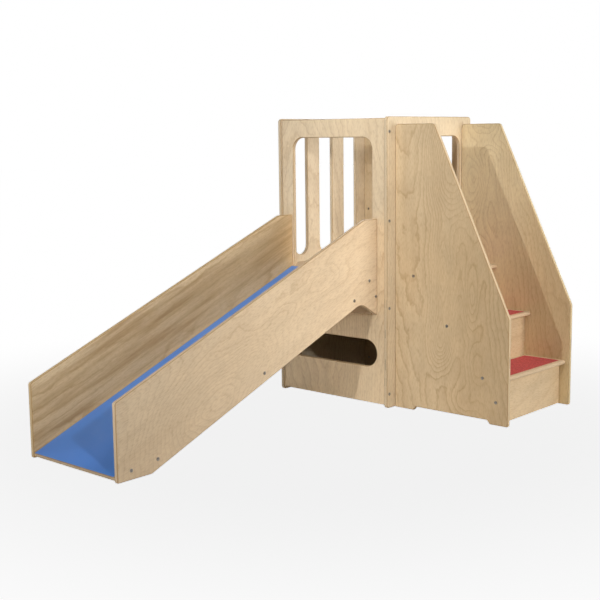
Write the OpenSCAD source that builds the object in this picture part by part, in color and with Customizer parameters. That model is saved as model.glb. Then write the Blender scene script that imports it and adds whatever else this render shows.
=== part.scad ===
// Toddler slide: a square plywood play tower, a straight slide with high side walls and
// a three-step stair, held together by connector bolts.
//
// Frame: +Z is up and the floor is Z = 0. The stair leaves the tower towards +X and the slide
// runs down towards -Y. The origin is on the floor, under the middle of the whole unit.
// Inside the modules, x = 0 is the tower's outer face on the stair side and y = 0 is the edge
// of that same panel on the slide side, so the tower fills x from -tower_w to 0.

/* [Sheet] */
// Thickness of the plywood that every panel is cut from
ply = 18; // [16:0.5:20]
// Radius of the panels' outer corners
corner_r = 16; // [8:1:20]
// Radius of the small corners at the feet
foot_r = 6; // [3:1:8]

/* [Tower] */
// Outside width and depth of the square tower
tower_w = 610; // [590:5:640]
// Height of the left and right panels
tower_h = 1220; // [1200:5:1260]
// Height of the deck's top above the floor
deck_h = 576; // [558:6:588]
// How far the front and back panels sit inside the edges of the side panels
recess = 6; // [2:1:10]
// Gap between the floor and the front and back panels
panel_lift = 12; // [4:1:20]

/* [Tower openings] */
// Width of both doorways
door_w = 440; // [400:5:450]
// Height of a doorway above the deck
door_h = 560; // [520:5:570]
// Radius of a doorway's upper corners
door_r = 50; // [20:1:80]
// Width of the low oblong slot in the front panel
low_slot_w = 488; // [300:2:490]
// Height of the low oblong slot
low_slot_h = 114; // [60:2:130]
// Height of the low slot's middle above the floor
low_slot_z = 226; // [180:1:280]
// Number of rail slots in the left and back panels
rail_slots = 3; // [1:1:3]
// Width of one rail slot, rounded at both ends
rail_slot_w = 90; // [60:1:95]
// Spacing of the rail slots
rail_pitch = 175; // [150:1:180]
// Height of the rail slots' lower ends above the deck
rail_low = 32; // [20:1:60]
// Height of the rail slots' upper ends above the deck
rail_high = 599; // [540:1:610]

/* [Slide] */
// Horizontal reach of the slide from the tower's edge
slide_reach = 1397; // [1300:5:1500]
// Width of the slide's bed between its walls
bed_w = 460; // [430:5:470]
// Height of the bed's upper face at the foot of the slide
toe_h = 20; // [20:1:40]
// Height of a wall above the bed, measured straight up
wall_rise = 257; // [200:1:280]
// Depth of a wall below the bed's upper face, measured straight down
wall_drop = 80; // [74:1:84]
// Height of the level shoulder at the top of a wall
shoulder_h = 800; // [780:1:815]
// Height of the tip of a wall's tail, against the tower
tail_h = 394; // [386:1:410]
// Slope of a wall's tail, in degrees
tail_angle = 29; // [25:1:35]
// Radius of the bend between the wall's lower edge and its tail
tail_r = 60; // [30:1:80]
// Width of the wood left bare along each side of the slide's skin
skin_margin = 6; // [3:1:12]
// Thickness of the slide's skin
skin_t = 1; // [0.8:0.1:1.5]

/* [Stair] */
// Horizontal reach of the stair from the tower's face
stair_reach = 554; // [545:1:580]
// Clear width between the stair's side panels
tread_w = 468; // [440:2:470]
// Going of one step, nose to nose
going = 172; // [165:1:175]
// Depth of the step's nose beyond the riser's face
nose = 27; // [20:1:30]
// How far the lowest nose stays behind the front edges of the side panels
nose_inset = 19; // [10:1:30]
// Height of the stair's side panels
side_h = 1189; // [1170:1:1195]
// Depth of the level top of a side panel
side_top = 194; // [150:1:220]
// Height of a side panel's front edge
side_front = 430; // [400:1:450]
// Height of the long notch between a side panel's feet
notch_h = 15.5; // [8:0.5:20]
// Thickness of a tread mat
mat_t = 2; // [1.5:0.5:3]
// Height by which a tread mat stands proud of its tread
mat_proud = 0.6; // [0.4:0.1:1]

/* [Hardware] */
// Diameter of the connector bolts' shanks
bolt_d = 6; // [5:0.5:7]
// Diameter of a bolt's head
head_d = 13; // [11:0.5:15]
// Height of a bolt's head
head_h = 2.4; // [2:0.1:3]
// Diameter of a barrel nut
barrel_d = 10; // [9:0.5:11]

/* [Hidden] */
$fn = 48;

birch = "#d9bd92";
birch_edge = "#e3c9a0";
skin_blue = "#4274d0";
mat_red = "#b03840";
zinc = "#b9bcc0";

eps = 0.01;         // overshoot of a blind cut past the face it opens
cut = 1;            // overshoot of a through cut on each side
arc_steps = 8;      // straight pieces in each rounded corner of an outline
play = 0.1;         // clearance of a pin in its hole, all round

// Tower: lines of the two outer side panels and of the recessed front and back panels
x_left = -tower_w;
x_in_left = -tower_w + ply;
x_in_right = -ply;
y_front = recess;
y_in_front = recess + ply;
y_back = tower_w - recess;
y_in_back = tower_w - recess - ply;
x_mid = -tower_w / 2;
y_mid = tower_w / 2;
panel_top = tower_h - recess;
door_z = deck_h + door_h;

// Connector bolt: it passes one sheet and grips a barrel nut in the edge of the next
nut_depth = 27;
nut_roof = 2.8;
nut_gap = 0.2;
bolt_tip = 2;
tip_gap = 1;
bolt_l = ply + nut_depth + barrel_d / 2 + bolt_tip;
shank_hole_d = bolt_d + 1;
nut_l = ply - 2 * (nut_roof + nut_gap);
nut_hole = ply - nut_roof;
end_hole_l = bolt_l - ply + tip_gap;
rim_share = 0.6;        // straight part of a bolt head's height
crown_share = 0.8;      // flat top of a bolt head against its diameter
socket_floor = 0.25;    // wood-side part of the head's height that the socket leaves
socket_d = 5;
corner_bolts = 4;
bolt_margin = 61;
bolt_pitch = (tower_h - 2 * bolt_margin) / (corner_bolts - 1);

// Deck cleats and the wood screws in them
cleat_w = 18;
cleat_h = 40;
cleat_end = 55;
cleat_l = tower_w - 2 * cleat_end;
cleat_z = deck_h - ply - cleat_h;
screw_d = 4;
screw_head_d = 8;
screw_head_h = 3;
screw_tip_l = 3;
screw_tip_d = 0.8;
screw_bite = 11;
screw_l = cleat_w + screw_bite;
deck_screw_l = cleat_h + screw_bite;
screw_pitch = 200;

// Slide: the bed's upper face runs from the front panel down to the toe
run = slide_reach + recess;
slide_angle = atan2(deck_h - toe_h, run);
bed_l = run / cos(slide_angle);
x_bed_left = x_mid - bed_w / 2;
x_bed_right = x_mid + bed_w / 2;
wall_tip_r = foot_r + 4;
skin_top_gap = 14;
skin_toe_gap = 1;
end_board_low = tail_h + 1;
end_board_h = 155;
end_bolt_z = tail_h + 81;
bed_bolt_end = 60;

// Stretchers under the bed: places down the slope, and depth below the bed's upper face
stretcher_h = 44;
stretcher_n = 40;
stretcher_first = 179;
stretcher_last = 175;
stretcher_step = (bed_l - stretcher_first - stretcher_last) / 2;
stretcher_s = [for (i = [0:2]) stretcher_first + i * stretcher_step];

// Bolts and nuts that hold the slide to the tower
slide_mount_zs = [tail_h + 40, tail_h + 110];
slide_mount_dx = bed_w * 0.3;
mount_nut_d = 14.4;
mount_nut_h = 6.5;
slide_mount_l = 2 * ply + mount_nut_h + bolt_tip + 0.5;

// Stair: three equal rises, the upper tread level with the deck
steps = 3;
rise = deck_h / steps;
x_nose = stair_reach - nose_inset;
y_side_front = y_mid - tread_w / 2 - ply;
y_side_back = y_mid + tread_w / 2;
foot_back = 96;
foot_front = 83;
notch_ramp = 14;
riser_lift = 3;
riser_bolt_z = rise / 2 - riser_lift;
riser_screw_pitch = 160;

// Tread mats: set in from the riser behind, the side panels and the nose
mat_back = 13;
mat_side = 18;
mat_nose = 20;
mat_play = 0.2;

// Bolts from the tower into threaded inserts in the stair's side panels
insert_d = 9.5;
insert_l = 15;
insert_sunk = 1;
insert_hole_l = 2 * insert_l;
stair_mount_zs = [120, 440, 900];
stair_mount_l = ply + insert_l + 6;

// Centre of the whole unit in the tower's own coordinates; bolt heads stand out on the left panel
x_centre = (stair_reach - tower_w - head_h) / 2;
y_centre = (tower_w - slide_reach) / 2;

// ---------------------------------------------------------------- outlines

function unit(v) = v / norm(v);

// Arc that rounds the corner b between its neighbours a and c
function corner_arc(a, b, c, r) =
    let (
        u = unit(a - b),
        v = unit(c - b),
        half = acos(u * v) / 2,
        centre = b + unit(u + v) * r / sin(half),
        from = b + u * r / tan(half) - centre,
        to = b + v * r / tan(half) - centre,
        start = atan2(from[1], from[0]),
        turn = atan2(from[0] * to[1] - from[1] * to[0], from * to)
    )
    [
        for (i = [0:arc_steps])
            let (a = start + turn * i / arc_steps)
                centre + r * [cos(a), sin(a)]
    ];

// Closed outline from corners given as [x, y, radius]; a radius of 0 keeps the corner sharp
function outline(corners) =
    let (n = len(corners), p = [for (c = corners) [c[0], c[1]]])
    [
        for (i = [0:n - 1])
            for (q = corners[i][2] == 0 ? [p[i]]
                : corner_arc(p[(i + n - 1) % n], p[i], p[(i + 1) % n], corners[i][2]))
                q
    ];

function rect_corners(x0, y0, x1, y1, low_r, high_r) =
    [[x0, y0, low_r], [x1, y0, low_r], [x1, y1, high_r], [x0, y1, high_r]];

// ---------------------------------------------------------------- placing

// Sheet that stands facing -Y, with its outline drawn in x and z
module sheet_xz(y0, t = ply) {
    translate([0, y0 + t, 0]) rotate([90, 0, 0]) linear_extrude(t) children();
}

// Sheet that stands facing +X, with its outline drawn in y and z
module sheet_yz(x0, t = ply) {
    translate([x0, 0, 0]) rotate([90, 0, 90]) linear_extrude(t) children();
}

// The slide's own directions: y runs down the bed from the tower and z stands square to it
module on_slide() {
    translate([0, recess, deck_h]) rotate([slide_angle, 0, 0]) mirror([0, 1, 0]) children();
}

// Children drawn along +Z turned to lie along +X, -X, +Y or -Y
module along_x(dir) {
    rotate([0, dir * 90, 0]) children();
}

module along_y(dir) {
    rotate([-dir * 90, 0, 0]) children();
}

// ---------------------------------------------------------------- hardware

// Bolt with its head above z = 0 and its shank below
module bolt(l) {
    rim_h = head_h * rim_share;
    difference() {
        union() {
            translate([0, 0, -l]) cylinder(h = l + rim_h / 2, d = bolt_d - 2 * play);
            cylinder(h = rim_h, d = head_d);
            translate([0, 0, rim_h])
                cylinder(h = head_h - rim_h, d1 = head_d, d2 = head_d * crown_share);
        }
        translate([0, 0, head_h * socket_floor]) cylinder(h = head_h, d = socket_d, $fn = 6);
    }
}

// Round nut that lies across the bolt, centred on z = 0
module barrel_nut() {
    difference() {
        cylinder(h = nut_l, d = barrel_d - 2 * play, center = true);
        along_x(1) cylinder(h = barrel_d + 2 * cut, d = bolt_d, center = true);
    }
}

// Hole for a connector bolt, from the sheet's outer face at z = 0 down
module bolt_hole(depth = ply) {
    translate([0, 0, -depth - eps]) cylinder(h = depth + 2 * eps, d = shank_hole_d);
}

// Countersunk wood screw with the top of its head at z = 0
module wood_screw(l) {
    translate([0, 0, -screw_head_h]) cylinder(h = screw_head_h, d1 = screw_d, d2 = screw_head_d);
    translate([0, 0, -l + screw_tip_l])
        cylinder(h = l - screw_tip_l - screw_head_h + eps, d = screw_d);
    translate([0, 0, -l]) cylinder(h = screw_tip_l, d1 = screw_tip_d, d2 = screw_d);
}

// Space that a wood screw takes up
module screw_space(l) {
    translate([0, 0, -screw_head_h - play])
        cylinder(h = screw_head_h + play + eps, d1 = screw_d, d2 = screw_head_d + 4 * play);
    translate([0, 0, -l - play]) cylinder(h = l, d = screw_d + 2 * play);
}

// ---------------------------------------------------------------- tower

function corner_bolt_z(i) = bolt_margin + i * bolt_pitch;

// Repeats along the four corners of the tower: +X is outwards at the bolt's head
module at_tower_bolts() {
    for (y = [y_front + ply / 2, y_back - ply / 2], i = [0:corner_bolts - 1]) {
        translate([0, y, corner_bolt_z(i)]) along_x(1) children();
        translate([x_left, y, corner_bolt_z(i)]) along_x(-1) children();
    }
}

// Holes that the corner bolts and their nuts need in a front or back panel; inner_y is its inner
// face and inward is the direction that face looks in
module corner_joint_holes(inner_y, inward) {
    for (i = [0:corner_bolts - 1], side = [0, 1]) {
        x = side == 0 ? x_in_right - nut_depth : x_in_left + nut_depth;
        edge_x = side == 0 ? x_in_right : x_in_left;
        dir = side == 0 ? 1 : -1;
        translate([x, inner_y - inward * (nut_hole - eps), corner_bolt_z(i)])
            along_y(inward) cylinder(h = nut_hole, d = barrel_d);
        translate([edge_x, inner_y - inward * ply / 2, corner_bolt_z(i)]) along_x(dir)
            bolt_hole(end_hole_l);
    }
}

// Outline of a left or right panel, in y and z
module side_panel_outline() {
    polygon(outline(rect_corners(0, 0, tower_w, tower_h, corner_r, corner_r)));
}

// Outline of a front or back panel, in x and z
module cross_panel_outline() {
    polygon(outline(rect_corners(x_in_left, panel_lift, x_in_right, panel_top, 0, 0)));
}

// Doorway from the deck up, centred on u = 0
module doorway() {
    polygon(outline(rect_corners(-door_w / 2, deck_h, door_w / 2, door_z, 0, door_r)));
}

// Upright slots with round ends, centred on u = 0
module rail_openings() {
    r = rail_slot_w / 2;
    low = deck_h + rail_low + r;
    high = deck_h + rail_high - r;
    for (i = [0:rail_slots - 1]) translate([(i - (rail_slots - 1) / 2) * rail_pitch, 0]) {
        translate([-r, low]) square([2 * r, high - low]);
        translate([0, low]) circle(r);
        translate([0, high]) circle(r);
    }
}

// Oblong slot with round ends, centred on u = 0
module low_slot() {
    r = low_slot_h / 2;
    translate([-low_slot_w / 2 + r, low_slot_z - r]) square([low_slot_w - 2 * r, 2 * r]);
    for (side = [-1, 1]) translate([side * (low_slot_w / 2 - r), low_slot_z]) circle(r);
}

module tower_left_panel() color(birch) difference() {
    sheet_yz(x_left) side_panel_outline();
    sheet_yz(x_left - cut, ply + 2 * cut) translate([y_mid, 0]) rail_openings();
    at_tower_bolts() bolt_hole();
    at_cleat_screws(-1) screw_space(screw_l);
}

module tower_right_panel() color(birch) difference() {
    sheet_yz(x_in_right) side_panel_outline();
    sheet_yz(x_in_right - cut, ply + 2 * cut) translate([y_mid, 0]) doorway();
    at_tower_bolts() bolt_hole();
    at_stair_mounts() bolt_hole();
    at_cleat_screws(1) screw_space(screw_l);
}

module tower_front_panel() color(birch) difference() {
    sheet_xz(y_front) cross_panel_outline();
    sheet_xz(y_front - cut, ply + 2 * cut) translate([x_mid, 0]) doorway();
    sheet_xz(y_front - cut, ply + 2 * cut) translate([x_mid, 0]) low_slot();
    corner_joint_holes(y_in_front, 1);
    at_slide_mounts() slide_mount_hole();
}

module tower_back_panel() color(birch) difference() {
    sheet_xz(y_in_back) cross_panel_outline();
    sheet_xz(y_in_back - cut, ply + 2 * cut) translate([x_mid, 0]) rail_openings();
    corner_joint_holes(y_in_back, -1);
}

module deck() color(birch) difference() {
    translate([x_in_left, y_in_front, deck_h - ply])
        cube([tower_w - 2 * ply, y_in_back - y_in_front, ply]);
    at_deck_screws() screw_space(deck_screw_l);
}

// Screws that go up from the cleats into the deck
module at_deck_screws() {
    for (x = [x_in_left + cleat_w / 2, x_in_right - cleat_w / 2], i = [-1:1])
        translate([x, y_mid + i * screw_pitch, cleat_z]) rotate([180, 0, 0]) children();
}

// Screws that go from one cleat into its side panel
module at_cleat_screws(side) {
    x = side < 0 ? x_in_left + cleat_w : x_in_right - cleat_w;
    for (i = [-0.5, 0.5]) translate([x, y_mid + i * screw_pitch, cleat_z + cleat_h / 2])
        along_x(-side) children();
}

module deck_cleat(side) difference() {
    x = side < 0 ? x_in_left : x_in_right - cleat_w;
    translate([x, y_mid - cleat_l / 2, cleat_z]) cube([cleat_w, cleat_l, cleat_h]);
    at_deck_screws() screw_space(deck_screw_l);
    at_cleat_screws(side) screw_space(screw_l);
}

module deck_cleat_left() color(birch_edge) deck_cleat(-1);

module deck_cleat_right() color(birch_edge) deck_cleat(1);

module tower_bolts() color(zinc) at_tower_bolts() bolt(bolt_l);

module tower_barrel_nuts() color(zinc)
    for (x = [x_in_right - nut_depth, x_in_left + nut_depth], i = [0:corner_bolts - 1],
            y = [y_front + ply / 2, y_back - ply / 2])
        translate([x, y, corner_bolt_z(i)]) along_y(1) barrel_nut();

module cleat_screws() color(zinc) {
    at_deck_screws() wood_screw(deck_screw_l);
    for (side = [-1, 1]) at_cleat_screws(side) wood_screw(screw_l);
}

// ---------------------------------------------------------------- slide

// Corners of a slide wall in y and z
function wall_corners() =
    let (
        foot_y = -slide_reach + (wall_drop - toe_h) / tan(slide_angle),
        shoulder_y = recess - (deck_h + wall_rise - shoulder_h) / tan(slide_angle),
        low_at_tower = deck_h - wall_drop,
        back = (low_at_tower - tail_h) / (tan(slide_angle) + tan(tail_angle)),
        bend = [recess - back, low_at_tower - back * tan(slide_angle)]
    )
    [
        [-slide_reach, 0, foot_r],
        [foot_y, 0, foot_r],
        [bend[0], bend[1], tail_r],
        [recess, tail_h, 0],
        [recess, shoulder_h, 0],
        [shoulder_y, shoulder_h, corner_r],
        [-slide_reach, toe_h + wall_rise, wall_tip_r]
    ];

// Places on a wall where connector bolts pass: in the slide's own directions for the bed and the
// stretchers, and level for the end board
module at_wall_bolts(side) {
    x = side < 0 ? x_bed_left - ply : x_bed_right + ply;
    on_slide() {
        for (s = [bed_bolt_end, bed_l - bed_bolt_end])
            translate([x, s, -ply / 2]) along_x(side) children();
        for (s = stretcher_s)
            translate([x, s, -stretcher_n]) along_x(side) children();
    }
    translate([x, recess - ply / 2, end_bolt_z]) along_x(side) children();
}

module slide_wall(side) difference() {
    x = side < 0 ? x_bed_left - ply : x_bed_right;
    sheet_yz(x, ply) polygon(outline(wall_corners()));
    at_wall_bolts(side) bolt_hole(ply);
}

module slide_left_wall() color(birch) slide_wall(-1);

module slide_right_wall() color(birch) slide_wall(1);

// Joints in both ends of a board between the walls: the nut's hole goes in from the board's
// face at z = 0, and the bolt's hole from the board's end
module end_joint_holes(depth = nut_hole) {
    for (side = [-1, 1]) {
        x = side < 0 ? x_bed_left : x_bed_right;
        translate([x - side * nut_depth, 0, -eps]) cylinder(h = depth, d = barrel_d);
        translate([x, 0, ply / 2]) along_x(side) bolt_hole(end_hole_l);
    }
}

module slide_bed() color(birch) difference() {
    on_slide() translate([x_bed_left, 0, -ply]) cube([bed_w, bed_l, ply]);
    // the upper end is cut plumb, flat against the tower
    translate([x_bed_left - cut, recess, deck_h - 3 * ply])
        cube([bed_w + 2 * cut, 2 * ply, 4 * ply]);
    on_slide() for (s = [bed_bolt_end, bed_l - bed_bolt_end])
        translate([0, s, -ply]) end_joint_holes();
}

module slide_skin() color(skin_blue)
    on_slide() translate([x_bed_left + skin_margin, skin_top_gap, 0])
        cube([bed_w - 2 * skin_margin, bed_l - skin_top_gap - skin_toe_gap, skin_t]);

module stretcher(i) difference() {
    on_slide() translate([x_bed_left, stretcher_s[i] - ply / 2, -stretcher_n - stretcher_h / 2])
        cube([bed_w, ply, stretcher_h]);
    on_slide() translate([0, stretcher_s[i] + ply / 2, -stretcher_n]) rotate([90, 0, 0])
        end_joint_holes();
}

module stretcher_upper() color(birch) stretcher(0);

module stretcher_middle() color(birch) stretcher(1);

module stretcher_lower() color(birch) stretcher(2);

module slide_end_board() color(birch) difference() {
    translate([x_bed_left, recess - ply, end_board_low]) cube([bed_w, ply, end_board_h]);
    // the upper edge is bevelled to the slope of the bed's lower face
    on_slide() translate([x_bed_left - cut, -2 * ply, -ply])
        cube([bed_w + 2 * cut, 5 * ply, 3 * ply]);
    translate([0, recess, end_bolt_z]) rotate([90, 0, 0]) end_joint_holes();
    at_slide_mounts() slide_mount_hole();
}

// Bolts that hold the end board to the tower: +Z points out of the end board's front face
module at_slide_mounts() {
    for (side = [-1, 1], z = slide_mount_zs)
        translate([x_mid + side * slide_mount_dx, recess - ply, z]) along_y(-1) children();
}

module slide_mount_hole() {
    bolt_hole(2 * ply);
}

module slide_bolts() color(zinc) for (side = [-1, 1]) at_wall_bolts(side) bolt(bolt_l);

module slide_barrel_nuts() color(zinc) for (side = [-1, 1]) {
    x = side < 0 ? x_bed_left + nut_depth : x_bed_right - nut_depth;
    on_slide() {
        for (s = [bed_bolt_end, bed_l - bed_bolt_end]) translate([x, s, -ply / 2]) barrel_nut();
        for (s = stretcher_s) translate([x, s, -stretcher_n]) along_y(1) barrel_nut();
    }
    translate([x, recess - ply / 2, end_bolt_z]) along_y(1) barrel_nut();
}

module slide_mount_bolts() color(zinc) at_slide_mounts() bolt(slide_mount_l);

module slide_mount_nuts() color(zinc) at_slide_mounts()
    translate([0, 0, -2 * ply - mount_nut_h]) difference() {
        cylinder(h = mount_nut_h, d = mount_nut_d, $fn = 6);
        translate([0, 0, -cut]) cylinder(h = mount_nut_h + 2 * cut, d = bolt_d);
    }

// ---------------------------------------------------------------- stair

function nose_x(i) = x_nose - i * going;
function riser_x(i) = nose_x(i) - nose - ply;
function tread_back(i) = i == steps - 1 ? 0 : riser_x(i + 1);
function tread_top(i) = (i + 1) * rise;
function tread_open_back(i) = i == steps - 1 ? 0 : riser_x(i + 1) + ply;
function tread_bolt_x(i) = (nose_x(i) + tread_open_back(i)) / 2;

// Corners of a stair side panel in x and z
function side_corners() = [
    [0, 0, foot_r],
    [foot_back, 0, 0],
    [foot_back + notch_ramp, notch_h, 0],
    [stair_reach - foot_front - notch_ramp, notch_h, 0],
    [stair_reach - foot_front, 0, 0],
    [stair_reach, 0, corner_r / 2],
    [stair_reach, side_front, corner_r],
    [side_top, side_h, corner_r],
    [0, side_h, corner_r]
];

// Bolts through a side panel into the treads' and lower riser's ends
module at_stair_bolts(side) {
    y = side < 0 ? y_side_front : y_side_back + ply;
    for (i = [0:steps - 1])
        translate([tread_bolt_x(i), y, tread_top(i) - ply / 2]) along_y(side) children();
    translate([riser_x(0) + ply / 2, y, riser_bolt_z]) along_y(side) children();
}

// Bolts from inside the tower into the back edges of the side panels
module at_stair_mounts() {
    for (y = [y_side_front + ply / 2, y_side_back + ply / 2], z = stair_mount_zs)
        translate([-ply, y, z]) along_x(-1) children();
}

module stair_side(side) difference() {
    y = side < 0 ? y_side_front : y_side_back;
    sheet_xz(y) polygon(outline(side_corners()));
    at_stair_bolts(side) bolt_hole();
    for (z = stair_mount_zs) translate([-eps, y + ply / 2, z]) along_x(1)
        cylinder(h = insert_hole_l, d = insert_d);
}

module stair_front_side() color(birch) stair_side(-1);

module stair_back_side() color(birch) stair_side(1);

// Holes for the nuts and bolts in both ends of a board across the stair: nuts from below
module tread_joint_holes(x, z_low) {
    for (side = [-1, 1]) {
        y = side < 0 ? y_mid - tread_w / 2 : y_mid + tread_w / 2;
        translate([x, y - side * nut_depth, z_low - eps]) cylinder(h = nut_hole, d = barrel_d);
        translate([x, y, z_low + ply / 2]) along_y(side) bolt_hole(end_hole_l);
    }
}

// A mat or, with room around it, the pocket that the mat lies in
module mat_block(i, z0, h, room = 0) {
    back = tread_open_back(i) + mat_back - room;
    front = nose_x(i) - mat_nose + room;
    across = tread_w - 2 * mat_side + 2 * room;
    translate([back, y_mid - across / 2, z0]) cube([front - back, across, h]);
}

module tread(i) difference() {
    union() {
        translate([tread_back(i), y_mid - tread_w / 2, tread_top(i) - ply])
            cube([nose_x(i) - ply / 2 - tread_back(i), tread_w, ply]);
        translate([nose_x(i) - ply / 2, y_mid, tread_top(i) - ply / 2]) along_y(1)
            cylinder(h = tread_w, d = ply, center = true);
    }
    mat_block(i, tread_top(i) - mat_t + mat_proud, mat_t + cut, mat_play);
    tread_joint_holes(tread_bolt_x(i), tread_top(i) - ply);
    if (i < steps - 1) at_riser_screws(i) screw_space(screw_l);
}

module tread_lower() color(birch_edge) tread(0);

module tread_middle() color(birch_edge) tread(1);

module tread_upper() color(birch_edge) tread(2);

module riser(i) difference() {
    low = i == 0 ? riser_lift : tread_top(i - 1);
    translate([riser_x(i), y_mid - tread_w / 2, low])
        cube([ply, tread_w, tread_top(i) - ply - low]);
    if (i == 0) for (side = [-1, 1]) {
        y = side < 0 ? y_mid - tread_w / 2 : y_mid + tread_w / 2;
        translate([riser_x(0) - eps, y - side * nut_depth, riser_bolt_z]) along_x(1)
            cylinder(h = nut_hole, d = barrel_d);
        translate([riser_x(0) + ply / 2, y, riser_bolt_z]) along_y(side) bolt_hole(end_hole_l);
    }
    if (i > 0) at_riser_screws(i - 1) screw_space(screw_l);
}

module riser_lower() color(birch) riser(0);

module riser_middle() color(birch) riser(1);

module riser_upper() color(birch) riser(2);

// Screws that go up through tread i into the riser that stands on it
module at_riser_screws(i) {
    x = riser_x(i + 1) + ply / 2;
    for (k = [-1:1]) translate([x, y_mid + k * riser_screw_pitch, tread_top(i) - ply])
        rotate([180, 0, 0]) children();
}

module tread_mat(i) mat_block(i, tread_top(i) - mat_t + mat_proud, mat_t);

module tread_mat_lower() color(mat_red) tread_mat(0);

module tread_mat_middle() color(mat_red) tread_mat(1);

module tread_mat_upper() color(mat_red) tread_mat(2);

module stair_bolts() color(zinc) for (side = [-1, 1]) at_stair_bolts(side) bolt(bolt_l);

module stair_barrel_nuts() color(zinc) for (side = [-1, 1]) {
    y = side < 0 ? y_mid - tread_w / 2 + nut_depth : y_mid + tread_w / 2 - nut_depth;
    for (i = [0:steps - 1]) translate([tread_bolt_x(i), y, tread_top(i) - ply / 2])
        rotate([0, 0, 90]) barrel_nut();
    translate([riser_x(0) + ply / 2, y, riser_bolt_z]) rotate([90, 0, 90]) barrel_nut();
}

module riser_screws() color(zinc)
    for (i = [0:steps - 2]) at_riser_screws(i) wood_screw(screw_l);

module stair_mount_bolts() color(zinc) at_stair_mounts() bolt(stair_mount_l);

module stair_mount_inserts() color(zinc) at_stair_mounts()
    translate([0, 0, -ply - insert_sunk - insert_l]) difference() {
        cylinder(h = insert_l, d = insert_d - 2 * play);
        translate([0, 0, -cut]) cylinder(h = insert_l + 2 * cut, d = bolt_d);
    }

// ---------------------------------------------------------------- assembly

module placed() translate([-x_centre, -y_centre, 0]) children();

placed() tower_left_panel();
placed() tower_right_panel();
placed() tower_front_panel();
placed() tower_back_panel();
placed() deck();
placed() deck_cleat_left();
placed() deck_cleat_right();
placed() tower_bolts();
placed() tower_barrel_nuts();
placed() cleat_screws();
placed() slide_left_wall();
placed() slide_right_wall();
placed() slide_bed();
placed() slide_skin();
placed() slide_end_board();
placed() stretcher_upper();
placed() stretcher_middle();
placed() stretcher_lower();
placed() slide_bolts();
placed() slide_barrel_nuts();
placed() slide_mount_bolts();
placed() slide_mount_nuts();
placed() stair_front_side();
placed() stair_back_side();
placed() tread_lower();
placed() tread_middle();
placed() tread_upper();
placed() riser_lower();
placed() riser_middle();
placed() riser_upper();
placed() tread_mat_lower();
placed() tread_mat_middle();
placed() tread_mat_upper();
placed() stair_bolts();
placed() stair_barrel_nuts();
placed() riser_screws();
placed() stair_mount_bolts();
placed() stair_mount_inserts();
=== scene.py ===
"""Looks of the toddler slide: birch plywood, blue laminate, red tread mats and zinc bolts.

Everything is in metres in the model's own frame: +Z up, the slide runs down towards -Y and the
stair leaves the tower towards +X.
"""

import math

import bmesh
import bpy
from mathutils import Matrix, Vector


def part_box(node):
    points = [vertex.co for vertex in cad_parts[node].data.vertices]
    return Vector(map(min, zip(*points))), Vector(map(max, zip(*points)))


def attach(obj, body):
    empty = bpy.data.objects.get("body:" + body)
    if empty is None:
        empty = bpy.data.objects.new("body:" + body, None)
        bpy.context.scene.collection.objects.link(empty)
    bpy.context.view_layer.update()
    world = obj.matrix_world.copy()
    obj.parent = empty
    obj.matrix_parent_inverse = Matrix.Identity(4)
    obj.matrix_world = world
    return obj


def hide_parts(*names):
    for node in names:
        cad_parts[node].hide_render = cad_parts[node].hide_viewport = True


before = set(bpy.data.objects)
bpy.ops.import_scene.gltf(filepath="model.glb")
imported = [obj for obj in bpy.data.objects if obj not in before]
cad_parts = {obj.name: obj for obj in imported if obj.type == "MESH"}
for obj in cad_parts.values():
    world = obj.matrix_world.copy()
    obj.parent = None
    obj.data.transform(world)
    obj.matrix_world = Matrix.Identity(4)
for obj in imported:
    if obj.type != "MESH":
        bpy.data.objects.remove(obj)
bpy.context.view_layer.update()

X = Vector((1, 0, 0))
Y = Vector((0, 1, 0))
Z = Vector((0, 0, 1))


# ---------------------------------------------------------------- directions taken from the frame

def slide_directions():
    """Directions down the slide's bed and square to it, from the skin's box."""
    low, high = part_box("slide_skin")
    slope = math.atan2(high.z - low.z, high.y - low.y)
    down = Vector((0, -math.cos(slope), -math.sin(slope)))
    square = Vector((0, -math.sin(slope), math.cos(slope)))
    return down, square


DOWN_SLIDE, OFF_BED = slide_directions()


# ---------------------------------------------------------------- material graphs

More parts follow.
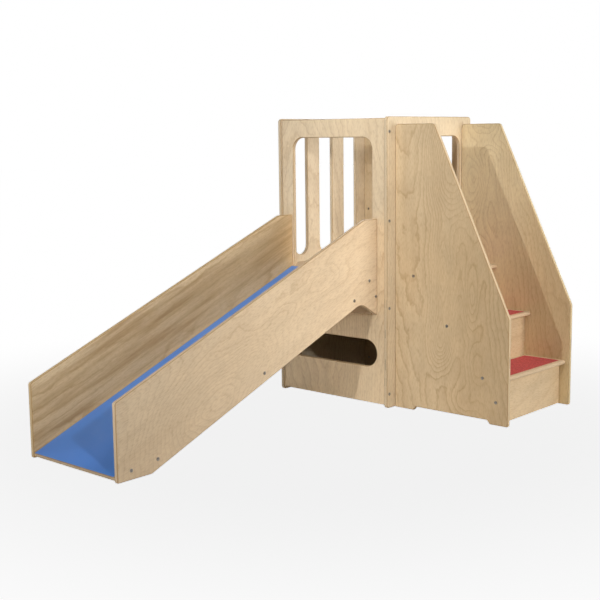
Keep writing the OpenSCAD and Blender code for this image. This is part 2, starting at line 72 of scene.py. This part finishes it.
class Graph:
    """A material's node graph, with one short method for each kind of step."""

    def __init__(self, name):
        self.material = bpy.data.materials.new(name)
        self.material.use_nodes = True
        self.tree = self.material.node_tree
        self.tree.nodes.clear()
        self.shader = self.add("ShaderNodeBsdfPrincipled")
        output = self.add("ShaderNodeOutputMaterial")
        self.link(self.shader.outputs[0], output.inputs["Surface"])

    def add(self, kind, **settings):
        node = self.tree.nodes.new(kind)
        for key, value in settings.items():
            setattr(node, key, value)
        return node

    def link(self, source, target):
        """Joins a socket to a socket, or sets the target to a plain value."""
        if isinstance(source, bpy.types.NodeSocket):
            self.tree.links.new(source, target)
        else:
            target.default_value = source

    def place(self):
        return self.add("ShaderNodeTexCoord").outputs["Object"]

    def normal(self):
        return self.add("ShaderNodeTexCoord").outputs["Normal"]

    def math(self, operation, *values, clamp=False):
        node = self.add("ShaderNodeMath", operation=operation, use_clamp=clamp)
        for value, socket in zip(values, node.inputs):
            self.link(value, socket)
        return node.outputs[0]

    def dot(self, vector, direction):
        node = self.add("ShaderNodeVectorMath", operation="DOT_PRODUCT")
        self.link(vector, node.inputs[0])
        self.link(tuple(direction), node.inputs[1])
        return node.outputs["Value"]

    def combine(self, *values):
        node = self.add("ShaderNodeCombineXYZ")
        for value, socket in zip(values, node.inputs):
            self.link(value, socket)
        return node.outputs[0]

    def noise(self, vector, scale, detail=2.0, roughness=0.5, distortion=0.0):
        node = self.add("ShaderNodeTexNoise")
        self.link(vector, node.inputs["Vector"])
        node.inputs["Scale"].default_value = scale
        node.inputs["Detail"].default_value = detail
        node.inputs["Roughness"].default_value = roughness
        node.inputs["Distortion"].default_value = distortion
        return node.outputs["Fac"]

    def grain_noise(self, u, v, length, seed, scale, **look):
        """Noise drawn out along the grain, so that its marks are length times as long as wide."""
        return self.noise(self.combine(u, self.math("DIVIDE", v, length), seed), scale, **look)

    def spread(self, value, low, high, to_low=0.0, to_high=1.0):
        """Maps low..high smoothly onto to_low..to_high."""
        node = self.add("ShaderNodeMapRange", interpolation_type="SMOOTHSTEP")
        for item, socket in zip((value, low, high, to_low, to_high), node.inputs):
            self.link(item, socket)
        return node.outputs[0]

    def mix(self, share, first, second, blend="MIX"):
        node = self.add("ShaderNodeMix", data_type="RGBA", blend_type=blend)
        self.link(share, node.inputs["Factor"])
        for item, socket in ((first, node.inputs[6]), (second, node.inputs[7])):
            self.link(item if isinstance(item, bpy.types.NodeSocket) else (*item, 1.0), socket)
        return node.outputs[2]

    def shade(self, colour, factor):
        """Makes a colour lighter or darker by a factor."""
        node = self.add("ShaderNodeVectorMath", operation="SCALE")
        self.link(colour, node.inputs[0])
        self.link(factor, node.inputs["Scale"])
        return node.outputs[0]

    def bump(self, height, strength, distance):
        node = self.add("ShaderNodeBump")
        node.inputs["Strength"].default_value = strength
        node.inputs["Distance"].default_value = distance
        self.link(height, node.inputs["Height"])
        self.link(node.outputs[0], self.shader.inputs["Normal"])

    def set(self, **sockets):
        for name, value in sockets.items():
            self.link(value, self.shader.inputs[name.replace("_", " ")])


# ---------------------------------------------------------------- birch plywood

PLY = 0.0014          # thickness of one veneer
BIRCH_PALE = (0.770, 0.597, 0.400)
BIRCH_TAN = (0.630, 0.445, 0.258)
RING_BROWN = (0.40, 0.23, 0.100)
END_GRAIN = (0.43, 0.275, 0.145)
GLUE = (0.16, 0.085, 0.04)
# brown of the rounded-over corners: partly the plies that the router exposes, partly painted shade
CORNER_PLY_AND_SHADE_BROWN = (0.36, 0.20, 0.080)

# how far each mark turns the wood to its own colour
FLECK_DEPTH = 0.24
END_DEPTH = 0.70
GLUE_DEPTH = 0.45
GAP_DEPTH = 0.80

# how far the rings swing, and how ragged they are, in the units of the growth field
WAVE = 0.034
RAGGED = 0.0075

# how far drift can move a sheet's share of tan wood, which on some sheets is partly painted shade, and
# how uneven its edge is in metres
DRIFT_SHARE = 0.4
DRIFT_RAGGED = 0.03


def reach(node, direction):
    """Lowest and highest place of a node along a direction."""
    places = [vert.co.dot(direction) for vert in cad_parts[node].data.vertices]
    return min(places), max(places)


def growth_field(g, u, v, seed, figure, stretch, hills):
    """Height map whose level lines are the growth rings that the peeling knife cut through."""
    field = g.grain_noise(u, v, stretch, seed, figure, detail=0.7, roughness=0.4, distortion=0.25)
    for across_at, along_at, half_width, half_length, height in hills:
        du = g.math("DIVIDE", g.math("SUBTRACT", u, across_at), half_width)
        dv = g.math("DIVIDE", g.math("SUBTRACT", v, along_at), half_length)
        square = g.math("ADD", g.math("MULTIPLY", du, du), g.math("MULTIPLY", dv, dv))
        bell = g.math("EXPONENT", g.math("MULTIPLY", square, -1.0))
        field = g.math("ADD", field, g.math("MULTIPLY", bell, height))
    wave = g.grain_noise(u, v, 2.0, seed + 7, 14, detail=1.5)
    ragged = g.grain_noise(u, v, 1.6, seed + 9, 60, detail=2.0)
    field = g.math("ADD", field, g.math("MULTIPLY", wave, WAVE))
    return g.math("ADD", field, g.math("MULTIPLY", ragged, RAGGED))


def growth_rings(g, u, v, seed, field, rings):
    """Each ring darkens softly and ends in a fine line. Whole rings fade here and there."""
    saw = g.math("FRACT", g.math("MULTIPLY", field, rings))
    soft = g.spread(saw, 0.20, 0.80, 0.0, 0.30)
    line = g.math("MULTIPLY", g.spread(saw, 0.66, 0.90), g.spread(saw, 0.90, 0.99, 1.0, 0.0))
    fade = g.grain_noise(u, v, 3.0, seed + 13, 5.0, detail=1.0)
    return g.math("MULTIPLY", g.math("MAXIMUM", soft, line), g.spread(fade, 0.3, 0.65, 0.4, 1.0))


def plain_veneer(g, u, v, seed, tan, drift, streaks):
    """Slow change between pale and tan wood, with lengthwise streaks."""
    slow = g.grain_noise(u, v, 3.5, seed + 3, 2.3, detail=2.0)
    streak = g.grain_noise(u, v, 18.0, seed + 5, 30, detail=3.0, roughness=0.6)
    tan_share = g.spread(slow, 0.3, 0.7, tan - 0.2, tan + 0.2)
    # drift turns the wood tan across the grain: partly painted shade on the stair's front side,
    # painted shade on the slide's left wall
    if drift:
        edge = g.math("ADD", u, g.math("MULTIPLY", streak, DRIFT_RAGGED))
        tan_share = g.math("ADD", tan_share, g.spread(edge, *drift, -DRIFT_SHARE, DRIFT_SHARE))
    tan_share = g.math("ADD", tan_share, 0.0, clamp=True)
    face = g.mix(tan_share, BIRCH_PALE, BIRCH_TAN)
    return g.mix(g.spread(streak, 0.40, 0.72, 0.0, streaks), face, RING_BROWN)


def end_grain(g, depth, crosswise, lengthwise):
    """Share of end grain on a cut edge, where every second ply is laid across the others."""
    pair = g.math("FRACT", g.math("DIVIDE", depth, 2.0))
    crossed = g.math("MULTIPLY", g.spread(pair, 0.47, 0.53), g.spread(pair, 0.96, 1.0, 1.0, 0.0))
    end_odd = g.math("MULTIPLY", g.math("POWER", g.math("ABSOLUTE", crosswise), 2.0), crossed)
    end_even = g.math("MULTIPLY", g.math("POWER", g.math("ABSOLUTE", lengthwise), 2.0),
                      g.math("SUBTRACT", 1.0, crossed))
    return g.math("ADD", end_odd, end_even), crossed


def birch(node, thin, grain, seed, tone=(1.0, 1.0, 1.0), tan=0.3, drift=None, rings=60.0,
          figure=1.6, stretch=4.5, ring_depth=0.30, streaks=0.12, corner_depth=0.75, hills=()):
    """Rotary-cut birch on the two faces and stacked plies on the cut edges.

    thin is the direction through the sheet and grain the direction of its face veneer. tone
    multiplies the colour and tan is the share of tan wood. drift is a pair of places across the
    grain between which the wood turns from pale to tan; on the stair's front side the tan end is
    partly the wood's own tone and partly painted shade, and on the slide's left wall the change from
    a pale top to tan wood lower down is painted shade. figure sets how fine the figure is, stretch
    its length along the grain, rings how many growth rings it holds and ring_depth how dark they
    are. streaks and corner_depth set how dark the streaks and the rounded-over corners are; the
    corners' darkening is partly the plies that the router exposes and partly painted shade. hills
    place a cathedral at a chosen spot.
    """
    g = Graph("birch_" + node)
    across = thin.cross(grain)
    place = g.place()
    u = g.dot(place, across)
    v = g.dot(place, grain)
    w = g.dot(place, thin)

    # face veneer
    field = growth_field(g, u, v, seed, figure, stretch, hills)
    ring = growth_rings(g, u, v, seed, field, rings)
    fleck = g.grain_noise(u, v, 5.0, seed + 1, 240, detail=1.5)
    cloud = g.grain_noise(u, v, 1.6, seed + 17, 12, detail=2.0)
    face = plain_veneer(g, u, v, seed, tan, drift, streaks)
    face = g.mix(g.math("MULTIPLY", ring, ring_depth), face, RING_BROWN)
    face = g.mix(g.spread(fleck, 0.42, 0.72, 0.0, FLECK_DEPTH), face, RING_BROWN)
    face = g.shade(face, g.spread(cloud, 0.3, 0.7, 0.965, 1.03))

    # cut edges: plies counted from the nearer face, with glue lines and a few gaps
    low, high = reach(node, thin)
    middle = g.math("ABSOLUTE", g.math("SUBTRACT", w, (low + high) / 2))
    depth = g.math("DIVIDE", g.math("SUBTRACT", (high - low) / 2, middle), PLY)
    normal = g.normal()
    edgewise = g.math("SUBTRACT", 1.0, g.math("ABSOLUTE", g.dot(normal, thin)))
    end, crossed = end_grain(g, depth, g.dot(normal, across), g.dot(normal, grain))
    patch = g.noise(g.combine(u, v, g.math("MULTIPLY", w, 30.0)), 22, detail=3.0)
    end = g.math("MULTIPLY", end, g.spread(patch, 0.25, 0.7, 0.45, 0.95))
    layer = g.math("FRACT", depth)
    glue = g.math("MULTIPLY", g.spread(layer, 0.0, 0.14, 1.0, 0.0), g.spread(edgewise, 0.2, 0.7))
    gap = g.noise(g.combine(u, v, g.math("MULTIPLY", g.math("FLOOR", depth), 3.7)), 15, detail=0.0)
    gap = g.math("MULTIPLY", g.spread(gap, 0.74, 0.77), g.math("MULTIPLY", crossed, edgewise))
    # the rounded-over corners darken: partly the plies that the router exposes, partly painted shade
    corner = g.math("MULTIPLY", g.spread(edgewise, 0.02, 0.12),
                    g.spread(edgewise, 0.45, 0.85, 1.0, 0.0))

    # the face down to the first glue line, and the plies below it
    inner = g.mix(g.spread(patch, 0.3, 0.75, 0.0, 0.3), BIRCH_PALE, BIRCH_TAN)
    wood = g.mix(g.spread(depth, 0.85, 1.10), face, inner)
    wood = g.mix(g.math("MULTIPLY", end, END_DEPTH), wood, END_GRAIN)
    wood = g.mix(g.math("MULTIPLY", glue, GLUE_DEPTH), wood, GLUE)
    wood = g.mix(g.math("MULTIPLY", gap, GAP_DEPTH), wood, GLUE)
    # painted shade, together with the exposed plies, on the rounded-over corners
    wood = g.mix(g.math("MULTIPLY", corner, corner_depth), wood, CORNER_PLY_AND_SHADE_BROWN)
    wood = g.mix(1.0, wood, tone, blend="MULTIPLY")

    rough = g.math("ADD", g.math("MULTIPLY", fleck, 0.10), g.math("MULTIPLY", end, 0.18))
    g.set(
        Base_Color=wood,
        Roughness=g.math("ADD", rough, 0.40),
        Specular_IOR_Level=0.25,
        Coat_Weight=0.05,
        Coat_Roughness=0.30,
    )
    relief = g.math("SUBTRACT", g.math("MULTIPLY", fleck, 0.5), g.math("MULTIPLY", glue, 0.7))
    relief = g.math("SUBTRACT", relief, g.math("MULTIPLY", gap, 2.0))
    relief = g.math("SUBTRACT", relief, g.math("MULTIPLY", ring, 0.25))
    g.bump(relief, 0.25, 0.0004)
    return g.material


# ---------------------------------------------------------------- other materials

BLUE = (0.095, 0.294, 0.825)
BLUE_CLOUD = (0.106, 0.315, 0.855)
BLUE_RUBBED = (0.25, 0.38, 0.66)
RED_DARK = (0.437, 0.047, 0.047)
RED_BRIGHT = (0.772, 0.110, 0.096)
RED_NAP = (0.350, 0.030, 0.030)
ZINC_BRIGHT = (0.44, 0.42, 0.40)
ZINC_DULL = (0.24, 0.22, 0.20)


def blue_laminate():
    """High-pressure laminate with a very fine pebble and faint wear down the run."""
    g = Graph("blue_laminate")
    place = g.place()
    along = g.dot(place, DOWN_SLIDE)
    across = g.dot(place, X)
    cloud = g.grain_noise(across, along, 1.0, 0.0, 5.0, detail=3.0)
    rub = g.grain_noise(across, along, 22.0, 0.0, 150, detail=3.0, roughness=0.65)
    pebble = g.noise(place, 1500, detail=1.0)
    colour = g.mix(g.spread(cloud, 0.3, 0.7), BLUE, BLUE_CLOUD)
    colour = g.mix(g.spread(rub, 0.62, 0.82, 0.0, 0.10), colour, BLUE_RUBBED)
    g.set(
        Base_Color=colour,
        Roughness=g.math("ADD", g.math("MULTIPLY", rub, 0.16), 0.34),
        Specular_IOR_Level=0.5,
        Coat_Weight=0.10,
        Coat_Roughness=0.35,
    )
    g.bump(pebble, 0.16, 0.0003)
    return g.material


def red_mat():
    """Thin matt mat with a mottled nap."""
    g = Graph("red_mat")
    place = g.place()
    nap = g.noise(place, 900, detail=2.0, roughness=0.7)
    mottle = g.noise(place, 110, detail=4.0, roughness=0.7)
    colour = g.mix(g.spread(mottle, 0.3, 0.7), RED_DARK, RED_BRIGHT)
    colour = g.mix(g.spread(nap, 0.35, 0.7, 0.0, 0.45), colour, RED_NAP)
    g.set(
        Base_Color=colour,
        Roughness=0.86,
        Specular_IOR_Level=0.15,
        Sheen_Weight=0.06,
        Sheen_Roughness=0.5,
    )
    g.bump(nap, 0.7, 0.0009)
    return g.material


def zinc_steel():
    """Zinc plate with turned marks and dull patches."""
    g = Graph("zinc_steel")
    place = g.place()
    dull = g.noise(place, 180, detail=4.0, roughness=0.6)
    turned = g.noise(place, 2600, detail=2.0)
    colour = g.mix(g.spread(dull, 0.35, 0.7), ZINC_BRIGHT, ZINC_DULL)
    g.set(
        Base_Color=colour,
        Metallic=1.0,
        Roughness=g.spread(dull, 0.25, 0.8, 0.22, 0.46),
    )
    g.bump(turned, 0.12, 0.0002)
    return g.material


# ---------------------------------------------------------------- plywood pieces with eased edges

EASE = 0.0045             # radius that the router leaves on the panels' face edges
LIGHT_EASE = 0.0015       # radius on the risers, deck and cleats, whose edges are only sanded
STRETCHER_EASE = 0.002
MAT_EASE = 0.0004
EASE_SEGMENTS = 3
HOLE_SPAN = 0.03          # rims smaller than this are bolt and nut holes, and stay sharp
WELD = 2e-6
FLAT_ANGLE = math.radians(0.4)      # faces that meet within this angle are made one
SHARP_ANGLE = math.radians(40)      # edges sharper than this aren't shaded smooth
SQUARE_TO_THIN = 0.35     # a cut edge's normal leans towards the sheet's thin direction less than this
ALONG_THIN = 0.99         # and a face's normal leans towards it more than this


def is_rim(edge, thin):
    """Whether an edge lies between a sheet's face and its cut edge."""
    if len(edge.link_faces) != 2:
        return False
    facing = sorted(abs(face.normal.dot(thin)) for face in edge.link_faces)
    return facing[0] < SQUARE_TO_THIN and facing[1] > ALONG_THIN


def closed_rims(edges):
    """Groups edges into the chains that touch each other."""
    left = set(edges)
    while left:
        chain, ends = [], [left.pop()]
        while ends:
            edge = ends.pop()
            chain.append(edge)
            near = {other for vert in edge.verts for other in vert.link_edges if other in left}
            left -= near
            ends.extend(near)
        yield chain


def span(chain):
    """Largest side of the box around a chain of edges."""
    points = [vert.co for edge in chain for vert in edge.verts]
    return max(max(p[i] for p in points) - min(p[i] for p in points) for i in range(3))


def finish_mesh(bm, name, material):
    """Turns a bmesh into a piece with smooth rounds and flat faces."""
    mesh = bpy.data.meshes.new(name)
    bm.to_mesh(mesh)
    bm.free()
    mesh.shade_smooth()
    mesh.set_sharp_from_angle(angle=SHARP_ANGLE)
    mesh.materials.append(material)
    piece = bpy.data.objects.new(name, mesh)
    bpy.context.scene.collection.objects.link(piece)
    weigh = piece.modifiers.new("even_normals", "WEIGHTED_NORMAL")
    weigh.keep_sharp = True
    weigh.weight = 100
    return piece


def eased_panel(node, thin, material, ease=EASE):
    """A sheet cut as its CAD node is, with its face edges rounded over except at small holes."""
    bm = bmesh.new()
    bm.from_mesh(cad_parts[node].data)
    bmesh.ops.remove_doubles(bm, verts=bm.verts, dist=WELD)
    bmesh.ops.dissolve_limit(bm, angle_limit=FLAT_ANGLE, verts=bm.verts, edges=bm.edges,
                             delimit={"NORMAL"})
    bm.normal_update()
    rims = closed_rims([edge for edge in bm.edges if is_rim(edge, thin)])
    eased = [edge for chain in rims if span(chain) > HOLE_SPAN for edge in chain]
    bmesh.ops.bevel(bm, geom=eased, offset=ease, offset_type="OFFSET", segments=EASE_SEGMENTS,
                    profile=0.5, affect="EDGES", clamp_overlap=False, loop_slide=False)
    piece = finish_mesh(bm, node + "_sheet", material)
    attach(piece, "root")
    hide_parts(node)


def dress(node, material):
    """Keeps a CAD node's own shape and gives it its material."""
    for material_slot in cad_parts[node].material_slots:
        material_slot.material = material


# ---------------------------------------------------------------- the pieces

def make_tower():
    panels = [
        ("tower_left_panel", X, dict(seed=1.7, tone=(1.02, 1.10, 1.17), tan=0.10, ring_depth=0.30)),
        ("tower_right_panel", X, dict(seed=4.2, tone=(1.05, 1.11, 1.14), tan=0.20, ring_depth=0.20)),
        ("tower_front_panel", Y, dict(seed=8.9, tone=(1.09, 1.12, 1.11), tan=0.08, ring_depth=0.32)),
        ("tower_back_panel", Y, dict(seed=12.4, tone=(0.84, 0.87, 0.855), tan=0.18, ring_depth=0.32)),
    ]
    for node, thin, look in panels:
        eased_panel(node, thin, birch(node, thin, Z, **look))
    eased_panel("deck", Z, birch("deck", Z, X, seed=15.1, tan=0.22), ease=LIGHT_EASE)
    for node, seed in (("deck_cleat_left", 2.3), ("deck_cleat_right", 6.6)):
        wood = birch(node, X, Y, seed=seed, tan=0.35)
        eased_panel(node, X, wood, ease=LIGHT_EASE)


# cathedrals in the figure, where the photo has them: their places were read off the photo through
# the fitted camera and some were then moved. In metres: place across the grain, place along it,
# half width and half length, then height in the growth field's units
RIGHT_WALL_HILLS = (
    (-0.370, 0.450, 0.160, 0.340, 0.28),
    (-0.434, 0.183, 0.050, 0.090, 0.07),
    (-0.503, -0.003, 0.040, 0.100, 0.05),
    (-0.512, -0.259, 0.050, 0.120, 0.06),
)
FRONT_SIDE_HILLS = (
    (0.270, 0.565, 0.055, 0.200, 0.14),
    (0.290, 1.020, 0.090, 0.190, 0.15),
    (0.262, 0.300, 0.055, 0.110, 0.12),
    (0.410, 0.500, 0.035, 0.130, 0.08),
    (0.430, 0.230, 0.050, 0.090, 0.07),
    (0.380, 0.080, 0.080, 0.070, 0.05),
)
BACK_SIDE_HILLS = (
    (0.105, 0.940, 0.055, 0.130, 0.10),
    (0.145, 0.560, 0.050, 0.130, 0.08),
    (0.300, 0.900, 0.080, 0.200, 0.06),
    (0.170, 1.120, 0.080, 0.050, 0.05),
)


def make_slide():
    eased_panel("slide_right_wall", X,
                birch("slide_right_wall", X, DOWN_SLIDE, seed=21.3, tone=(1.05, 1.065, 1.075),
                      tan=0.12, ring_depth=0.25, stretch=5.0, hills=RIGHT_WALL_HILLS))
    # the left wall's pale top and tan lower part, from drift, are painted shade
    eased_panel("slide_left_wall", X,
                birch("slide_left_wall", X, DOWN_SLIDE, seed=27.8, tone=(1.13, 1.12, 1.00),
                      tan=0.40, drift=(-0.62, -0.53), rings=30, ring_depth=0.50, stretch=16.0,
                      figure=4.0, streaks=0.75))
    eased_panel("slide_bed", OFF_BED, birch("slide_bed", OFF_BED, DOWN_SLIDE, seed=31.0, tan=0.45))
    eased_panel("slide_end_board", Y, birch("slide_end_board", Y, X, seed=33.5, tan=0.3))
    for i, node in enumerate(("stretcher_upper", "stretcher_middle", "stretcher_lower")):
        wood = birch(node, OFF_BED, X, seed=36.0 + 2.3 * i, tan=0.3)
        eased_panel(node, OFF_BED, wood, ease=STRETCHER_EASE)
    dress("slide_skin", blue_laminate())


def make_stair():
    # the front side turns tan towards the stair's foot, from drift: partly its own wood, partly
    # painted shade where the light falls off
    eased_panel("stair_front_side", Y,
                birch("stair_front_side", Y, Z, seed=44.6, tone=(1.00, 1.025, 0.99), tan=0.55,
                      drift=(0.05, 0.48), ring_depth=0.46, hills=FRONT_SIDE_HILLS))
    eased_panel("stair_back_side", Y,
                birch("stair_back_side", Y, Z, seed=49.2, tone=(1.06, 1.13, 1.06), tan=0.35,
                      drift=(0.10, 0.55), ring_depth=0.32, hills=BACK_SIDE_HILLS))
    mat = red_mat()
    for i, level in enumerate(("lower", "middle", "upper")):
        riser, tread = "riser_" + level, "tread_" + level
        tone = (0.95, 0.935, 0.865) if i == 0 else (0.89, 0.89, 0.81)
        riser_wood = birch(riser, X, Y, seed=53.0 + 3.1 * i, tone=tone, tan=0.2, rings=22.0,
                           ring_depth=0.18)
        tread_wood = birch(tread, Z, Y, seed=63.0 + 2.7 * i, tan=0.15, ring_depth=0.25,
                           corner_depth=0.15)
        eased_panel(riser, X, riser_wood, ease=LIGHT_EASE)
        dress(tread, tread_wood)
        eased_panel("tread_mat_" + level, Z, mat, ease=MAT_EASE)


def make_hardware():
    steel = zinc_steel()
    for node in ("tower_bolts", "tower_barrel_nuts", "cleat_screws", "slide_bolts",
                 "slide_barrel_nuts", "slide_mount_bolts", "slide_mount_nuts", "stair_bolts",
                 "stair_barrel_nuts", "riser_screws", "stair_mount_bolts", "stair_mount_inserts"):
        dress(node, steel)


# ---------------------------------------------------------------- camera, floor and light

# fitted to the photo's straight edges and corners by least squares
CAMERA_PLACE = Vector((2.8469, -3.2670, 1.1462))
CAMERA_LENS = 67.07
CAMERA_YAW = math.radians(42.094)       # to the left of +Y
CAMERA_PITCH = math.radians(8.368)      # down
CAMERA_ROLL = math.radians(-0.657)


def make_camera():
    """Camera in front and to the right, a little lower than the tower's top, as the photo's was."""
    yaw, pitch, roll = CAMERA_YAW, CAMERA_PITCH, CAMERA_ROLL
    heading = Vector((-math.sin(yaw), math.cos(yaw), 0))
    forward = math.cos(pitch) * heading - math.sin(pitch) * Z
    level = Vector((math.cos(yaw), math.sin(yaw), 0))
    up = level.cross(forward)
    right = math.cos(roll) * level + math.sin(roll) * up
    top = -math.sin(roll) * level + math.cos(roll) * up
    camera = bpy.data.objects.new("camera", bpy.data.cameras.new("camera"))
    camera.data.sensor_width = 36.0
    camera.data.lens = CAMERA_LENS
    turn = Matrix((right, top, -forward)).transposed().to_4x4()
    camera.matrix_world = Matrix.Translation(CAMERA_PLACE) @ turn
    bpy.context.scene.collection.objects.link(camera)
    bpy.context.scene.camera = camera


def seen_by(piece, camera, others):
    """Chooses whether the camera sees a piece, and whether light bounces off it."""
    piece.visible_camera = camera
    piece.visible_diffuse = others
    piece.visible_glossy = others
    piece.visible_transmission = others
    piece.visible_shadow = others


FLOOR_SIZE = 60
FLOOR_GLOW = 0.88           # under the model, rising to 1.0 as the floor fades into the background
FADE_START = 0.8
FADE_END = 2.6


def make_floor():
    """Pale floor: one sheet that the camera sees, fading to white, and one that bounces light."""
    g = Graph("studio_floor")
    away = g.add("ShaderNodeVectorMath", operation="LENGTH")
    g.link(g.place(), away.inputs[0])
    speck = g.noise(g.place(), 60, detail=3.0)
    g.set(
        Base_Color=g.mix(speck, (0.88, 0.88, 0.88), (0.90, 0.90, 0.90)),
        Roughness=0.8,
        Emission_Color=(1.0, 1.0, 1.0, 1.0),
        Emission_Strength=g.spread(away.outputs["Value"], FADE_START, FADE_END, FLOOR_GLOW, 1.0),
    )
    bounce = Graph("studio_bounce")
    bounce.set(Base_Color=(0.90, 0.90, 0.90, 1.0), Roughness=0.9)
    for name, graph, seen in (("studio_floor", g, True), ("studio_bounce", bounce, False)):
        bpy.ops.mesh.primitive_plane_add(size=FLOOR_SIZE, location=(0, 0, 0))
        floor = bpy.context.object
        floor.name = name
        floor.data.materials.append(graph.material)
        seen_by(floor, seen, not seen)


def make_world():
    """White surroundings for the eye; all light on the model comes from the lamps."""
    world = bpy.data.worlds.new("studio")
    bpy.context.scene.world = world
    world.use_nodes = True
    background = world.node_tree.nodes["Background"]
    background.inputs["Color"].default_value = (1.0, 1.0, 1.0, 1.0)
    background.inputs["Strength"].default_value = 1.0
    world.cycles_visibility.diffuse = False
    world.cycles_visibility.glossy = False


MODEL_MIDDLE = Vector((0.0, -0.10, 0.60))
TOWER_MIDDLE = Vector((-0.07, 0.644, 0.75))
TOWER_LEFT = Vector((-0.37, 0.644, 0.75))
TOWER_TOP = Vector((-0.17, 0.644, 1.20))

# The spots and softboxes were chosen from a grid of trial lamps, and the watts of nine of them
# fitted to the photo's colours by least squares. The watts of soft_far_left and soft_back_left
# were set one by one, and soft_behind was added.
#
# name, place, target, radius of the lamp, radius of its pool of light at the target, watts
SPOTS = [
    ("key_front", Vector((1.00, -5.12, 2.38)), TOWER_LEFT, 0.036, 1.60, 330),
    ("key_right", Vector((3.19, -1.91, 2.00)), MODEL_MIDDLE, 0.08, 1.80, 150),
    ("key_right_far", Vector((4.90, -2.40, 2.92)), MODEL_MIDDLE, 0.12, 3.00, 97),
    ("fill_right", Vector((3.26, 1.09, 1.09)), TOWER_MIDDLE, 0.50, 1.60, 232),
    ("glow_top", Vector((0.79, -1.41, 3.46)), TOWER_TOP, 0.35, 0.55, 231),
]

# name, place, width, watts; all of them face the model's middle
SOFTBOXES = [
    ("soft_above", Vector((1.75, -0.10, 3.63)), 1.0, 32),
    ("soft_front", Vector((0.00, -2.10, 0.77)), 0.6, 7),
    ("soft_left", Vector((-3.02, -1.84, 0.90)), 1.0, 17),
    ("soft_far_left", Vector((-3.49, -0.10, 0.90)), 1.0, 12),
    ("soft_back_left", Vector((-1.52, 2.53, 2.35)), 1.0, 35),
    ("soft_back_right", Vector((1.52, 2.53, 2.35)), 1.0, 11),
    ("soft_behind", Vector((-0.30, 3.50, 0.50)), 0.9, 26),
]


def add_lamp(name, kind, place, target, watts):
    """Puts up a lamp that faces its target, and gives back its settings."""
    lamp = bpy.data.objects.new(name, bpy.data.lights.new(name, kind))
    lamp.data.energy = watts
    lamp.location = place
    lamp.rotation_mode = "QUATERNION"
    lamp.rotation_quaternion = (target - place).to_track_quat("-Z", "Y")
    bpy.context.scene.collection.objects.link(lamp)
    return lamp.data


def make_lights():
    for name, place, target, radius, pool, watts in SPOTS:
        lamp = add_lamp(name, "SPOT", place, target, watts)
        lamp.shadow_soft_size = radius
        lamp.spot_size = 2 * math.atan(pool / (target - place).length)
        lamp.spot_blend = 1.0
    for name, place, size, watts in SOFTBOXES:
        lamp = add_lamp(name, "AREA", place, MODEL_MIDDLE, watts)
        lamp.shape = "SQUARE"
        lamp.size = size


make_camera()
make_floor()
make_world()
make_lights()
make_tower()
make_slide()
make_stair()
make_hardware()
bpy.context.scene.view_settings.view_transform = "Standard"
